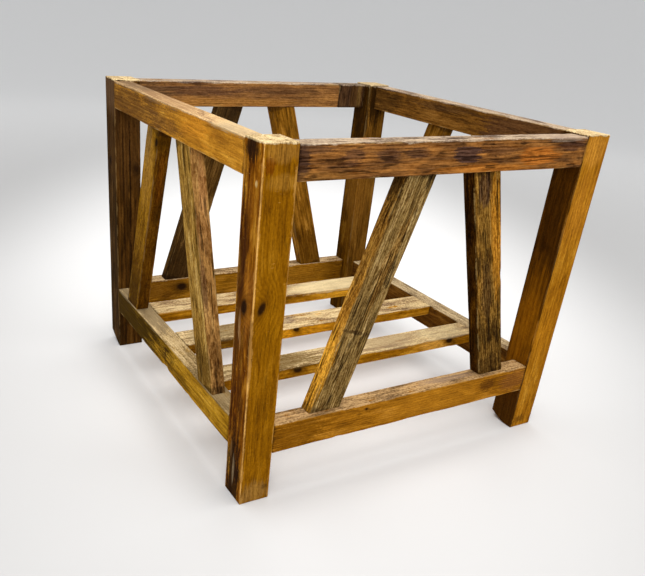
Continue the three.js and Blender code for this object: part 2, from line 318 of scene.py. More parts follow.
def woodFinish(name, look, blank, seed, knots=(), marks=()):
    wood = Finish(name)
    half = [size / mm / 2 for size in blank["size"]]
    coords = wood.node("ShaderNodeTexCoord", output=3)
    scaling = {"operation": "SCALE"}
    place = wood.node("ShaderNodeVectorMath", scaling, {0: coords, "Scale": 1 / mm})
    split = wood.node("ShaderNodeSeparateXYZ", inputs={0: place}).socket.node
    x, y, z = (Wire(wood, split.outputs[axis]) for axis in range(3))

    # growth rings about a pith that lies outside the timber
    sway = wood.noise(place, *patternSizes["sway"], seed, detail=1.5) - 0.5
    ripple = wood.noise(place, *patternSizes["ripple"], seed + 1, detail=2.0) - 0.5
    offY = y - look["heart"][0] - x * look["lean"][0] + sway * driftReach
    offZ = z - look["heart"][1] - x * look["lean"][1]
    radius = (offY * offY + offZ * offZ).root() + ripple * look["ripple"]
    swell, core, halo = knotShapes(knots, x, y, z)
    if swell is not None:
        radius = radius + swell
    ring = (radius / look["ringWidth"] + sway * driftRings).fraction()
    late = ring.rise(0.2, 0.9) * ring.rise(1.0, 0.93)

    fibre = wood.noise(place, *look["fibreSize"], seed + 3, detail=3.0, roughness=0.65)
    streak = wood.noise(place, *patternSizes["streak"], seed + 4, detail=3.0, roughness=0.6)
    cloud = wood.noise(place, *patternSizes["cloud"], seed + 5, detail=3.0, roughness=0.6, distortion=0.6)
    speck = wood.noise(place, *patternSizes["speck"], seed + 8, detail=2.0, roughness=0.65)
    grit = wood.noise(place, *patternSizes["grit"], seed + 14, detail=0.0)
    lump = wood.noise(place, *patternSizes["lump"], seed + 9, detail=2.0)

    # broad tone, from deep to light; a face may have tones of its own, which on some pieces are painted
    # shade and on one painted light
    broad = (streak - 0.5) * look["streak"] + (cloud - 0.5) * look["cloud"]
    tone = wood.tones(broad + 0.55, look["tones"])
    ragged = (lump - 0.5) * 1.4
    for face, side in look["sides"].items():
        own = wood.tones(broad * side.get("gain", 1.0) + 0.55, side["tones"])
        tone = wood.mixed(sideMask(face, half, y, z, ragged), tone, own)

    torn = (lump - 0.5) * 1.0 + (streak - 0.5) * 1.4 + (speck - 0.5) * 0.7 + (fibre - 0.5) * 1.3
    tone = addStainsAndPaintedLight(wood, tone, place, torn, [mark for mark in marks if not mark["over"]])

    # fibres, mottling and rings
    small = (fibre - 0.5) * look["fibre"] + (speck - 0.5) * look["speck"] + 0.5
    small = small + (grit - 0.5) * look["grit"] - (late - 0.4) * (look["rings"] * 0.5)
    tone = wood.times(tone, wood.mixed(small, smallShadow, smallLight))
    pores = fibre.rise(0.58, 0.70) * look["pores"]
    tone = wood.mixed(pores, tone, wood.times(tone, poreShade))
    shine = (fibre * 0.6 + speck * 0.4).rise(0.43, 0.33) * look["flecks"]
    tone = wood.mixed(shine, tone, wood.times(tone, fleckLift))

    # long thin checks along the grain
    checkField = wood.noise(place, *look["checkSize"], seed + 6, detail=1.5)
    wide = look["checkWide"]
    check = abs(checkField - 0.5).rise(wide, wide * 0.25) * (cloud + lump).rise(1.04, 0.88)
    check = check * look["checks"]
    tone = wood.mixed(check, tone, crackTone)

    if core is not None:
        tone = wood.mixed(halo * 0.5, tone, look["tones"][0])
        tone = wood.mixed(core * 0.92, tone, crackTone)

    # distance to the nearest long corner, and to the ends
    toWide = half[1] - abs(y)
    toDeep = half[2] - abs(z)
    toEnd = half[0] - abs(x)
    width = look["wearWidth"]
    rub = (lump - 0.5) * (width * 5.0) + (speck - 0.5) * (width * 2.2)
    edge = (toWide + toDeep + rub).rise(width * 1.1, width * 0.5)
    wearAndHighlight = edge * look["wear"]
    # a pale line along some corners: partly rubbed wear, partly a painted highlight
    for (signY, signZ), amount in look["wornAndHighlightCorners"].items():
        here = (y * signY).rise(-1.0, 1.0) * (z * signZ).rise(-1.0, 1.0)
        patchy = (cloud * 0.6 + lump * 0.4).rise(0.40, 0.56) * 0.75 + 0.25
        line = (toWide + toDeep + (speck - 0.5) * width).rise(width, width * 0.4)
        wearAndHighlight = wearAndHighlight.math("MAXIMUM", line * here * patchy * amount)
    tone = wood.mixed(wearAndHighlight, tone, look["pale"])

    # a bleached, worn upper face that spills over its corners
    if look["topPale"] > 0:
        upper = {"length": x, "width": y, "depth": z}[blank["top"]]
        upperHalf = half[("length", "width", "depth").index(blank["top"])]
        onTop = upper + (lump - 0.5) * 9.0 + (speck - 0.5) * 3.0
        onTop = onTop.rise(upperHalf - topBlend[0], upperHalf - topBlend[1])
        fade = (streak - 0.5) * 1.5 + (speck - 0.5) * 1.4 + (cloud - 0.5) * 2.1 + 0.6
        faded = wood.tones(fade, look["topTones"], topToneStops)
        faded = wood.times(faded, wood.mixed(small * 0.9 + 0.05, smallShadow, smallLight))
        faded = wood.mixed(check * 0.7, faded, crackTone)
        tone = wood.mixed(onTop * look["topPale"], tone, faded)
    tone = addStainsAndPaintedLight(wood, tone, place, torn, [mark for mark in marks if mark["over"]])

    # grime sits in the joints, nicks show bare wood
    if look["grime"] > 0:
        dirt = (toEnd + (lump - 0.5) * 14.0).rise(look["grimeReach"], 0.0) * look["grime"]
        tone = wood.mixed(dirt, tone, crackTone)
    if look["nicks"] > 0:
        nick = wood.noise(place, *patternSizes["nick"], seed + 12, detail=1.0).rise(0.75, 0.82)
        tone = wood.mixed(nick * look["nicks"], tone, look["pale"])

    relief = fibre * (0.3 + look["fibre"]) + speck * look["speck"] + late * 0.3 - check * 3.0
    if core is not None:
        relief = relief - core * 0.6
    bumpInputs = {"Strength": look["bump"], "Distance": reliefDepth, "Height": relief}
    normal = wood.node("ShaderNodeBump", inputs=bumpInputs)
    gloss = (fibre - 0.5) * 0.3 + check * 0.3 + look["roughness"]
    surface = {"Base Color": tone, "Roughness": gloss.clamped(), "Normal": normal}
    shader = wood.node("ShaderNodeBsdfPrincipled", inputs={**surface, **dullSheen})
    wood.node("ShaderNodeOutputMaterial", inputs={"Surface": shader})
    return wood.material


cellPrimes = (374761393, 668265263, 1440662683)
seedPrime, stirPrime = 1274126177, 1103515245
wordMask = 0xFFFFFFFF


# the same random value from -1 to 1 each time for a cell of a grid
def latticeValue(cell, seed):
    mixed = sum(part * prime for part, prime in zip(cell, cellPrimes)) + seed * seedPrime
    mixed = mixed & wordMask
    mixed = ((mixed ^ (mixed >> 13)) * stirPrime) & wordMask
    return ((mixed ^ (mixed >> 16)) & 0xFFFF) / 32767.5 - 1.0


# smooth random values from -1 to 1, with a bump size in metres on each axis
def softNoise(points, size, seed):
    scaled = points / np.array(size)
    base = np.floor(scaled).astype(np.int64)
    part = scaled - base
    part = part * part * (3 - 2 * part)
    total = np.zeros(len(points))
    for corner in range(8):
        step = np.array([corner & 1, corner >> 1 & 1, corner >> 2 & 1])
        weight = np.prod(np.where(step == 1, part, 1 - part), axis=1)
        total += weight * latticeValue((base + step).T, seed)
    return total


def spacedFromEnds(half, offsets, step):
    # positions from -half to half, close together near both ends
    near = [offset for offset in offsets if offset < half * 0.8]
    inner = half - near[-1]
    count = max(2, round(2 * inner / step))
    middle = np.linspace(-inner, inner, count + 1)
    lower = [-half + offset for offset in near[:-1]]
    upper = [half - offset for offset in reversed(near[:-1])]
    return np.array(lower + list(middle) + upper)


nearCorner = [offset * mm for offset in (0.0, 0.7, 1.6, 2.8, 4.6, 7.0)]
nearEnd = [offset * mm for offset in (0.0, 0.3, 0.9, 1.8, 3.2, 5.5)]
stepAround, stepAlong = 3.2 * mm, 4.0 * mm
endRings = (0.9, 0.76, 0.58, 0.38, 0.18)  # rings that close an end, as shares of its rim


def sectionOutline(halfWidth, halfDepth):
    wide = spacedFromEnds(halfWidth, nearCorner, stepAround)
    deep = spacedFromEnds(halfDepth, nearCorner, stepAround)
    outline = [(value, -halfDepth) for value in wide[:-1]]
    outline += [(halfWidth, value) for value in deep[:-1]]
    outline += [(value, halfDepth) for value in wide[:0:-1]]
    outline += [(-halfWidth, value) for value in deep[:0:-1]]
    return np.array(outline)


def joinRings(first, second, around):
    # faces between two rings of points that start at these numbers
    faces = []
    for step in range(around):
        after = (step + 1) % around
        faces.append((first + step, first + after, second + after, second + step))
    return faces


timberDefaults = {
    "round": 1.8,          # mm, usual radius of the worn corners
    "roundVary": 0.6,      # how much that radius changes along the timber
    "endRound": 1.6,       # mm
    "swell": 0.35,         # mm, slow waves in the faces
    "groove": 0.12,        # mm, grooves along the grain
    "fine": 0.05,          # mm, fine ridges
    "chips": 0.8,          # mm, bites out of the corners
    "dents": (),
    "cuts": (),            # corners rounded off at one end
    "bury": 0.0,           # mm that each end runs into its neighbour
}
bumpSizes = {              # m along the timber, across its width and its depth
    "cornerSlow": (0.085, 0.3, 0.3),
    "cornerQuick": (0.018, 0.3, 0.3),
    "bite": (0.030, 0.3, 0.3),
    "swell": (0.11, 0.04, 0.04),
    "groove": (0.10, 0.0042, 0.0042),
    "thinGroove": (0.05, 0.0021, 0.0021),
    "fine": (0.012, 0.0016, 0.0016),
    "dent": (0.008, 0.004, 0.004),
}


def carveTimber(name, blank, shape, seed):
    shape = dict(timberDefaults, **shape)
    length, width, depth = blank["size"]
    halfLength = length / 2 + shape["bury"] * mm
    halfWidth, halfDepth = width / 2, depth / 2
    outline = sectionOutline(halfWidth, halfDepth)
    stations = spacedFromEnds(halfLength, nearEnd, stepAlong)
    around, rows = len(outline), len(stations)
    noiseShift = np.array([0.37, 0.11, 0.53]) * (seed % 17)

    # corner radius changes along the timber, each corner by itself
    flat = np.tile(outline, (rows, 1))
    along = np.repeat(stations, around)
    sign = np.sign(flat)
    cornerKey = np.stack([along, sign[:, 0] * 0.5, sign[:, 1] * 0.5], axis=1) + noiseShift
    slow = softNoise(cornerKey, bumpSizes["cornerSlow"], seed + 11)
    quick = softNoise(cornerKey, bumpSizes["cornerQuick"], seed + 12)
    bite = np.clip(softNoise(cornerKey, bumpSizes["bite"], seed + 13) - 0.45, 0, 1) / 0.55
    factor = 1 + shape["roundVary"] * (0.7 * slow + 0.3 * quick)
    corner = shape["round"] * mm * factor + shape["chips"] * mm * 2.2 * bite
    corner = np.clip(corner, 0.4 * mm, min(halfWidth, halfDepth) * 0.6)

    inset = halfLength - np.abs(along)
    endRound = shape["endRound"] * mm
    left = np.clip(endRound - inset, 0, endRound)
    shrink = endRound - np.sqrt(np.clip(endRound ** 2 - left ** 2, 0, None))
    inner = np.stack([
        np.clip(flat[:, 0], -(halfWidth - corner), halfWidth - corner),
        np.clip(flat[:, 1], -(halfDepth - corner), halfDepth - corner),
    ], axis=1)
    away = flat - inner
    reach = np.linalg.norm(away, axis=1, keepdims=True)
    facing = away / np.maximum(reach, 1e-9)
    section = inner + facing * (corner - shrink)[:, None]

    points = np.stack([along, section[:, 0], section[:, 1]], axis=1)
    normals = np.stack([np.zeros(len(along)), facing[:, 0], facing[:, 1]], axis=1)
    faces = []
    for row in range(rows - 1):
        faces += joinRings(row * around, (row + 1) * around, around)

    # end faces, as rings that shrink to a point
    allPoints, allNormals = [points], [normals]
    total = len(points)
    for end, row in ((-1, 0), (1, rows - 1)):
        rim = points[row * around:(row + 1) * around]
        previous = row * around
        closing = []
        for share in endRings:
            allPoints.append(rim * np.array([1, share, share]))
            allNormals.append(np.tile([end, 0.0, 0.0], (around, 1)))
            closing += joinRings(previous, total, around)
            previous, total = total, total + around
        allPoints.append(rim[:1] * np.array([1, 0, 0]))
        allNormals.append(np.array([[end, 0.0, 0.0]]))
        closing += [(previous + step, previous + (step + 1) % around, total) for step in range(around)]
        faces += [face if end > 0 else face[::-1] for face in closing]
        total += 1
    points = np.vstack(allPoints)
    normals = np.vstack(allNormals)

    # unevenness only ever takes wood away
    spot = points + noiseShift
    swell = softNoise(spot, bumpSizes["swell"], seed + 21) - 1
    groove = softNoise(spot, bumpSizes["groove"], seed + 22) - 1
    groove += 0.5 * softNoise(spot, bumpSizes["thinGroove"], seed + 23) - 0.5
    fine = softNoise(spot, bumpSizes["fine"], seed + 24) - 1
    depthCut = (swell * shape["swell"] + groove * shape["groove"] + fine * shape["fine"]) * 0.5 * mm
    for dent in shape["dents"]:
        gap = (points - np.array(dent["at"]) * mm) / (np.array(dent["size"]) * mm)
        ragged = 1 + 0.45 * softNoise(spot, bumpSizes["dent"], seed + 25)
        depthCut -= dent["depth"] * mm * np.exp(-np.sum(gap * gap, axis=1)) * ragged
    points = points + normals * depthCut[:, None]

    for cut in shape["cuts"]:
        # squeeze the last stretch of the timber towards its middle, most at the corner
        gapY = (points[:, 1] - cut["corner"][0] * halfWidth) / (cut["reach"][0] * mm)
        gapZ = (points[:, 2] - cut["corner"][1] * halfDepth) / (cut["reach"][1] * mm)
        near = np.clip(1 - np.hypot(gapY, gapZ), 0, 1) ** 1.4
        ending = np.clip(1 - (halfLength - points[:, 0] * cut["end"]) / (cut["depth"] * 3 * mm), 0, 1)
        points[:, 0] -= cut["end"] * cut["depth"] * mm * near * ending

    # the slanted ends of a leaning bar
    points[:, 0] += points[:, 1] * blank.get("slope", 0.0)

    turn = np.array([blank["grain"], blank["across"], blank["outward"]])
    world = points @ turn + np.array(blank["centre"])
    low, high = np.array(cadBox[0]), np.array(cadBox[1])
    world = np.clip(world, low, high)
    points = (world - np.array(blank["centre"])) @ turn.T

    piece = addSmoothMesh(name, points.tolist(), faces)
    rotation = Matrix((blank["grain"], blank["across"], blank["outward"])).transposed()
    piece.matrix_world = Matrix.Translation(blank["centre"]) @ rotation.to_4x4()
    return piece


def placeTimber(timber, blank, family):
    node = timber["node"]
    look = dict(family, **timber.get("look", {}))
    piece = carveTimber(node + ".timber", blank, timber.get("shape", {}), timber["seed"])
    knots, marks = timber.get("knots", ()), timber.get("marks", ())
    piece.data.materials.append(woodFinish(node + ".wood", look, blank, timber["seed"], knots, marks))
    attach(piece, "root")
    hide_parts(node)


def span(low, high):
    return (low + high) / 2, high - low


def postBlank(node):
    low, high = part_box(node)
    centre, size = (low + high) / 2, high - low
    return {
        "centre": centre, "size": (size.z, size.x, size.y), "top": "length",
        "grain": up, "across": alongX, "outward": alongY,
    }


post = dict(
    plainWood, topPale=1.0, grime=0.0, streak=0.7, cloud=0.9,
    topTones=tints((132, 110, 76), (174, 150, 108), (204, 182, 136)),
)

frontLeftPost = {
    "node": "front_left_leg", "seed": 3,
    "look": {
        "tones": tints((84, 46, 4), (116, 72, 5), (134, 87, 7), (158, 110, 22)),
        # the pale front-left corner is partly wear, partly a painted highlight
        "streak": 0.5, "cloud": 0.8, "nicks": 0.35, "wornAndHighlightCorners": {(-1, -1): 0.95}, "wearWidth": 3.6,
        "pale": tint(222, 170, 90),
        "sides": {"y-": {
            "tones": tints((40, 20, 5), (94, 50, 7), (138, 83, 12), (184, 130, 40)), "gain": 2.0,
        }},
    },
    "shape": {"dents": [{"at": (305, -24, -24), "size": (11, 5, 6), "depth": 5}]},
    "knots": [
        {"at": (64, -14), "radius": 8.5, "tilt": -0.7},
        {"at": (57, 0), "radius": 12.0, "through": "width"},
    ],
    "marks": [
        stainAndPaintedLight((40, -30, 20), (260, 7, 11), (60, 30, 9), 0.8),
        stainAndPaintedLight((60, -30, -8), (70, 7, 18), (168, 108, 36), 0.6, soft=0.3),
        stainAndPaintedLight((50, 4, -30), (90, 34, 6), (150, 100, 8), 0.4, soft=0.2),
        stainAndPaintedLight((190, -30, 6), (60, 6, 8), (66, 34, 8), 0.7),
        stainAndPaintedLight((20, -30, 12), (26, 5, 4), (170, 132, 84), 0.6),
        stainAndPaintedLight((-6, -30, 6), (24, 5, 3), (164, 122, 70), 0.55),
        stainAndPaintedLight((120, -30, 12), (50, 6, 9), (74, 40, 14), 0.6),
        stainAndPaintedLight((-140, -30, -10), (50, 6, 9), (66, 36, 12), 0.6),
        stainAndPaintedLight((232, -30, 2), (30, 6, 12), (128, 74, 14), 0.5),
        stainAndPaintedLight((-60, -30, 0), (110, 6, 8), (70, 38, 10), 0.6),
        stainAndPaintedLight((-290, -30, 6), (110, 9, 30), (34, 21, 11), 0.92),
        stainAndPaintedLight((-262, -30, 2), (30, 5, 4), (150, 130, 98), 0.7),
        stainAndPaintedLight((-225, -30, 14), (22, 5, 4), (112, 84, 50), 0.6),
        stainAndPaintedLight((308, -30, 8), (20, 7, 24), (40, 24, 12), 0.9),
        stainAndPaintedLight((258, -30, -14), (6, 4, 4), (206, 176, 116), 0.9),
        stainAndPaintedLight((288, -18, -30), (13, 9, 6), (108, 54, 5), 0.75),
        stainAndPaintedLight((262, 8, -30), (12, 26, 5), (176, 130, 50), 0.35),
        stainAndPaintedLight((308, 4, -30), (16, 34, 6), (160, 116, 48), 0.5),
        stainAndPaintedLight((-300, 0, -30), (26, 30, 6), (146, 112, 58), 0.5),
        stainAndPaintedLight((-292, 20, -30), (6, 5, 4), (72, 48, 18), 0.6),
    ],
}
frontRightPost = {
    "node": "front_right_leg", "seed": 8,
    "look": {
        "tones": tints((92, 54, 8), (140, 88, 14), (165, 110, 22), (200, 146, 50)),
        # the inner (-X) face, turned into the frame, is painted dark as shade
        "fibre": 1.1, "cloud": 0.9, "wear": 0.05, "sides": {"y-": {
            "tones": tints((28, 15, 3), (48, 26, 4), (64, 36, 5), (92, 54, 8)),
        }},
    },
    "shape": {"cuts": [{"end": -1, "corner": (-1, 1), "reach": (26, 40), "depth": 16}]},
    "marks": [
        # a lighter patch low on the inner face: the painted shade eases off lower down
        stainAndPaintedLight((-80, -30, 0), (150, 8, 44), (128, 78, 8), 0.9, soft=0.2),
        stainAndPaintedLight((-290, -30, 0), (50, 8, 44), (66, 39, 8), 0.85),
        stainAndPaintedLight((-85, 0, -30), (90, 40, 6), (182, 120, 24), 0.6, soft=0.2),
        stainAndPaintedLight((180, 0, -30), (90, 40, 6), (186, 124, 36), 0.6, soft=0.2),
        stainAndPaintedLight((292, 0, -30), (30, 30, 6), (206, 144, 54), 0.5),
        stainAndPaintedLight((-300, -8, -30), (12, 12, 6), (80, 46, 12), 0.6),
    ],
}
backLeftPost = {
    "node": "back_left_leg", "seed": 14,
    "look": {
        "tones": tints((28, 15, 7), (50, 31, 10), (70, 44, 13), (98, 66, 26)), "streak": 1.4,
        "wear": 0.12, "sides": {"y-": {
            "tones": tints((22, 13, 3), (45, 29, 9), (63, 42, 17), (90, 64, 32)), "gain": 1.3,
        }},
    },
    "shape": {"cuts": [{"end": -1, "corner": (-1, 1), "reach": (44, 62), "depth": 24}]},
    "marks": [
        stainAndPaintedLight((190, 0, -10), (110, 60, 50), (84, 56, 26), 0.45),
        stainAndPaintedLight((-120, -30, 0), (130, 6, 44), (50, 32, 9), 0.6, soft=0.2),
        stainAndPaintedLight((300, -30, 0), (50, 8, 40), (104, 78, 54), 0.7),
        stainAndPaintedLight((60, 4, -30), (190, 2.4, 5), (24, 14, 6), 0.8),
        stainAndPaintedLight((90, -12, -30), (160, 2, 5), (28, 16, 7), 0.6),
    ],
    "knots": [
        {"at": (140, 8), "radius": 6.0, "through": "width", "dark": 0.6},
        {"at": (127, 19), "radius": 6.0, "dark": 0.6},
    ],
}
backRightPost = {
    "node": "back_right_leg", "seed": 21,
    "look": {
        "tones": tints((34, 20, 7), (74, 48, 10), (106, 70, 20), (144, 104, 42)), "wear": 0.1,
        "sides": {"y-": {
            "tones": tints((26, 14, 2), (58, 35, 2), (88, 54, 5), (120, 84, 22)), "gain": 1.2,
        }},
    },
    "marks": [
        stainAndPaintedLight((320, 0, 0), (6, 60, 60), (156, 136, 104), 0.6, over=True),
        # painted shade at the top of the front and inner faces, by the top rails' joint
        stainAndPaintedLight((290, -10, -30), (70, 36, 12), (42, 25, 7), 0.92),
        stainAndPaintedLight((250, -30, 0), (90, 8, 40), (42, 25, 6), 0.85),
        # a thin painted highlight along the front-left corner in that shade
        stainAndPaintedLight((290, -27, -30), (60, 4, 8), (96, 72, 34), 0.3),
        stainAndPaintedLight((40, -20, -20), (90, 40, 40), (128, 86, 28), 0.6),
    ],
}

for timber in (frontLeftPost, frontRightPost, backLeftPost, backRightPost):
    placeTimber(timber, postBlank(timber["node"]), post)
print("posts done")


def railBlank(node, runsAlong):
    low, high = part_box(node)
    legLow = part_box("front_left_leg")[1]
    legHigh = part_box("back_right_leg")[0]
    centre, size = (low + high) / 2, high - low
    if runsAlong == "x":
        middle, length = span(legLow.x, legHigh.x)
        if node == "back_top_rail":
            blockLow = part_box("back_top_rail_end_block")[0]
            middle, length = span(legLow.x, blockLow.x)
        centre.x = middle
        grain, outward, depth = alongX, -alongY, size.y
    else:
        middle, length = span(legLow.y, legHigh.y)
        centre.y = middle
        grain, outward, depth = alongY, alongX, size.x
    return {
        "centre": centre, "size": (length, size.z, depth), "top": "width",
        "grain": grain, "across": up, "outward": outward,
    }


smokedRail = dict(
    plainWood, tones=tints((52, 34, 24), (96, 63, 34), (132, 87, 42), (174, 116, 54)),
    streak=1.1, cloud=1.0, fibre=2.2, grit=0.6, fibreSize=(60.0, 3.0),
    checks=0.7, checkSize=(150.0, 6.0), checkWide=0.07, topPale=1.0,
    topTones=tints((96, 78, 68), (134, 116, 98), (168, 148, 122)),
    roughness=0.55, bump=0.8,
)
amberRail = dict(
    plainWood, tones=tints((78, 44, 10), (126, 79, 14), (158, 104, 22), (188, 132, 46)),
    topPale=1.0, topTones=tints((96, 74, 50), (138, 108, 70), (176, 142, 96)),
)
frontTopRail = {
    "node": "front_top_rail", "seed": 31, "runs": "x", "family": smokedRail,
    "shape": {"round": 2.4, "roundVary": 0.9, "chips": 1.8, "swell": 0.6},
    "marks": [
        stainAndPaintedLight((-305, 0, 20), (14, 34, 8), (56, 40, 34), 0.8),
        stainAndPaintedLight((-290, 19, 20), (40, 8, 6), (70, 48, 36), 0.6),
        stainAndPaintedLight((-215, 6, 20), (24, 12, 7), (74, 51, 42), 0.6),
        stainAndPaintedLight((-148, 8, 20), (30, 11, 7), (74, 52, 42), 0.6),
        stainAndPaintedLight((20, 4, 20), (32, 14, 7), (68, 49, 44), 0.85, soft=0.9),
        stainAndPaintedLight((92, 8, 20), (46, 11, 7), (84, 54, 34), 0.6),
        stainAndPaintedLight((270, 14, 20), (32, 12, 7), (74, 49, 38), 0.65),
        stainAndPaintedLight((250, 28, 0), (60, 8, 30), (164, 142, 120), 0.6, over=True),
        stainAndPaintedLight((190, -4, 20), (50, 18, 7), (192, 114, 40), 0.7),
        stainAndPaintedLight((70, -20, 20), (120, 7, 7), (186, 116, 42), 0.6),
        stainAndPaintedLight((-260, -21, 20), (60, 9, 7), (152, 104, 44), 0.4),
        stainAndPaintedLight((-90, 10, 20), (30, 9, 7), (76, 52, 40), 0.6),
    ],
}
backTopRail = {
    "node": "back_top_rail", "seed": 37, "runs": "x", "family": smokedRail,
    "look": {
        "tones": tints((72, 48, 30), (110, 75, 42), (136, 94, 50), (166, 118, 60)),
        "fibre": 0.9, "streak": 0.8, "checks": 0.3,
    },
    "marks": [
        stainAndPaintedLight((-140, 10, 20), (150, 12, 8), (88, 60, 42), 0.7),
        stainAndPaintedLight((100, 12, 20), (120, 10, 8), (96, 66, 42), 0.5),
        stainAndPaintedLight((-40, -18, 20), (200, 10, 8), (156, 108, 48), 0.6),
        stainAndPaintedLight((-240, 4, 20), (70, 24, 8), (98, 72, 46), 0.7),
    ],
}
leftTopRail = {
    "node": "left_top_rail", "seed": 41, "runs": "y", "family": amberRail,
    "look": {
        "tones": tints((110, 68, 20), (160, 106, 30), (192, 132, 38), (222, 164, 60)), "streak": 0.6,
        "topTones": tints((118, 90, 66), (162, 130, 92), (196, 164, 116)), "grit": 0.2,
    },
    "marks": [
        stainAndPaintedLight((210, -4, -20), (290, 60, 12), (104, 70, 33), 0.85, soft=0.2),
        stainAndPaintedLight((30, -4, -20), (110, 40, 10), (114, 78, 40), 0.55, soft=0.1),
        stainAndPaintedLight((-130, 8, -20), (70, 22, 10), (222, 148, 42), 0.55),
        stainAndPaintedLight((240, 28, 2), (260, 10, 34), (102, 80, 58), 0.9, soft=0.2, over=True),
        stainAndPaintedLight((-260, 28, 2), (90, 8, 30), (178, 158, 122), 0.6, over=True),
        stainAndPaintedLight((40, 28, 2), (130, 8, 30), (150, 116, 80), 0.6, over=True),
    ],
}
rightTopRail = {
    "node": "right_top_rail", "seed": 47, "runs": "y", "family": smokedRail,
    "look": {
        "tones": tints((52, 32, 12), (90, 58, 20), (112, 74, 26), (140, 98, 42)),
        "fibre": 0.8, "streak": 0.8, "cloud": 1.0, "checks": 0.4,
    },
    "marks": [
        stainAndPaintedLight((-215, 0, -20), (120, 40, 10), (84, 56, 34), 0.75, soft=0.85),
        stainAndPaintedLight((270, 0, -20), (60, 40, 10), (66, 44, 18), 0.6),
        stainAndPaintedLight((60, 14, -20), (100, 10, 8), (78, 54, 30), 0.6),
    ],
}
frontBottomRail = {
    "node": "front_bottom_rail", "seed": 53, "runs": "x", "family": amberRail,
    "shape": {"round": 2.4, "roundVary": 0.9, "chips": 1.4},
    "knots": [{"at": (-111, 18), "radius": 2.6}],
    "marks": [
        stainAndPaintedLight((-270, 0, 19), (80, 34, 8), (112, 69, 8), 0.75),
        stainAndPaintedLight((70, 2, 19), (120, 30, 8), (176, 118, 28), 0.6),
        # greyish painted shade on the upper face, in a worn hollow by the right brace's foot
        stainAndPaintedLight((100, 30, -4), (70, 6, 12), (136, 112, 90), 0.7, over=True),
        stainAndPaintedLight((200, 6, 19), (22, 14, 7), (84, 48, 14), 0.7),
        stainAndPaintedLight((280, 4, 19), (40, 28, 8), (128, 80, 34), 0.7),
    ],
}
backBottomRail = {
    "node": "back_bottom_rail", "seed": 59, "runs": "x", "family": amberRail,
    "look": {
        "tones": tints((56, 34, 8), (112, 74, 14), (144, 97, 20), (172, 124, 42)),
        "topTones": tints((84, 64, 44), (136, 108, 72), (188, 160, 118)),
    },
    "knots": [{"at": (-194, 6), "radius": 12.0, "tilt": 0.1}],
    "marks": [
        stainAndPaintedLight((270, 0, 19), (60, 40, 10), (104, 66, 10), 0.6),
        stainAndPaintedLight((-240, 0, 19), (60, 40, 10), (98, 62, 16), 0.6),
        stainAndPaintedLight((180, 0, 19), (80, 40, 10), (150, 102, 24), 0.6),
    ],
}
leftBottomRail = {
    "node": "left_bottom_rail", "seed": 61, "runs": "y", "family": amberRail,
    "shape": {"chips": 1.2, "dents": [{"at": (-2, -27, -19), "size": (14, 9, 7), "depth": 2}]},
    "look": {
        "tones": tints((90, 62, 8), (146, 104, 18), (178, 132, 32), (210, 166, 60)),
        "topTones": tints((106, 86, 54), (148, 124, 82), (178, 154, 110)),
    },
    "marks": [
        stainAndPaintedLight((270, 0, -19), (330, 90, 16), (62, 43, 3), 0.97, soft=0.5),
        stainAndPaintedLight((-4, -8, -19), (7, 26, 6), (74, 47, 12), 0.7),
        stainAndPaintedLight((200, 30, 2), (170, 8, 30), (124, 106, 78), 0.8, over=True),
        stainAndPaintedLight((-240, 30, 2), (90, 8, 30), (120, 101, 70), 0.7, over=True),
        stainAndPaintedLight((-60, -14, -19), (90, 12, 8), (96, 66, 12), 0.6),
    ],
}
rightBottomRail = {
    "node": "right_bottom_rail", "seed": 67, "runs": "y", "family": amberRail,
    "look": {
        "tones": tints((34, 18, 8), (70, 42, 12), (98, 62, 18), (130, 90, 34)),
        "topTones": tints((120, 100, 74), (160, 138, 102), (190, 168, 128)),
    },
}

for rail in (
    frontTopRail, backTopRail, leftTopRail, rightTopRail,
    frontBottomRail, backBottomRail, leftBottomRail, rightBottomRail,
):
    placeTimber(rail, railBlank(rail["node"], rail["runs"]), rail["family"])
print("rails done")


def barBlank(node, faces):
    # the bar's line comes from the lowest and highest corners of its solid
    corners = np.array([tuple(vertex.co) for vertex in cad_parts[node].data.vertices])
    axis = 0 if faces in ("front", "back") else 1
    other = 1 - axis
    low, high = corners[:, 2].min(), corners[:, 2].max()
    foot = corners[corners[:, 2] < low + 0.5 * mm]
    head = corners[corners[:, 2] > high - 0.5 * mm]
    footAt, footWide = span(foot[:, axis].min(), foot[:, axis].max())
    headAt = span(head[:, axis].min(), head[:, axis].max())[0]
    depthAt, depth = span(corners[:, other].min(), corners[:, other].max())
    line = np.zeros(3)
    line[axis], line[2] = headAt - footAt, high - low
    run = float(np.linalg.norm(line))
    grain = Vector(line / run)
    outward = {"front": -alongY, "back": alongY, "left": -alongX, "right": alongX}[faces]
    across = outward.cross(grain)
    centre = Vector((0, 0, (low + high) / 2))
    centre[axis], centre[other] = (footAt + headAt) / 2, depthAt
    return {
        "centre": centre, "size": (run, footWide * grain.z, depth),
        "grain": grain, "across": across, "outward": outward,
        "slope": -across.z / grain.z,
    }


